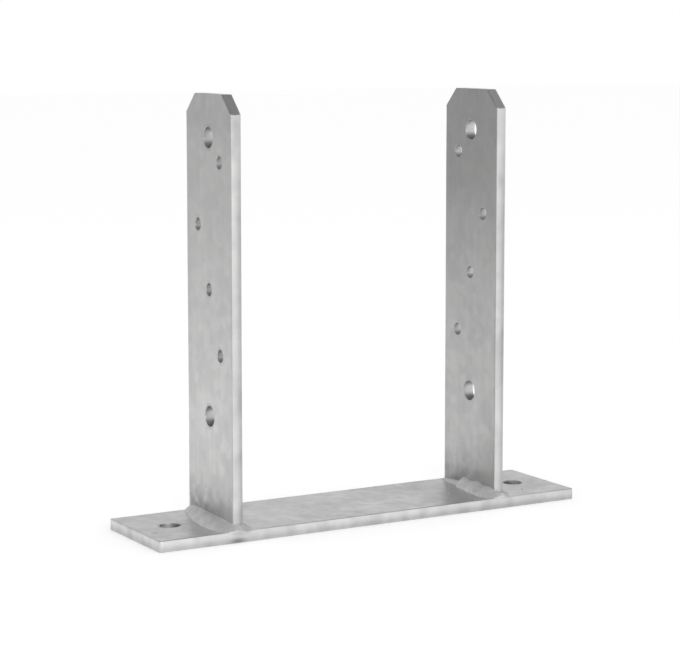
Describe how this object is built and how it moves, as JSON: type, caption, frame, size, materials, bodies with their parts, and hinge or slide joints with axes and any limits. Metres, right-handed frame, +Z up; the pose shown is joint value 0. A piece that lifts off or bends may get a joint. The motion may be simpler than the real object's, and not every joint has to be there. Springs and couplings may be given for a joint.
{
  "type": "timber post base",
  "caption": "Welded, galvanised steel post base: a bolt-down base strip with an upright drilled strap on each side of the timber post.",
  "frame": {"origin": "centre of the base strip's underside, on the surface that it is bolted to", "axes": "+X along the base strip, from one upright to the other; +Y across it, along the uprights' width; +Z up, along the uprights"},
  "size_m": [0.25, 0.06, 0.224],
  "materials": {
    "galvanised_plate": "hot-dip galvanised, dull silver-grey with faint spangle and dip runs",
    "galvanised_weld": "hot-dip galvanised over rippled fillet weld"
  },
  "bodies": {
    "root": {"base_plate": "galvanised_plate", "left_upright": "galvanised_plate", "right_upright": "galvanised_plate", "left_outer_weld": "galvanised_weld", "left_inner_weld": "galvanised_weld", "right_inner_weld": "galvanised_weld", "right_outer_weld": "galvanised_weld"}
  },
  "joints": []
}
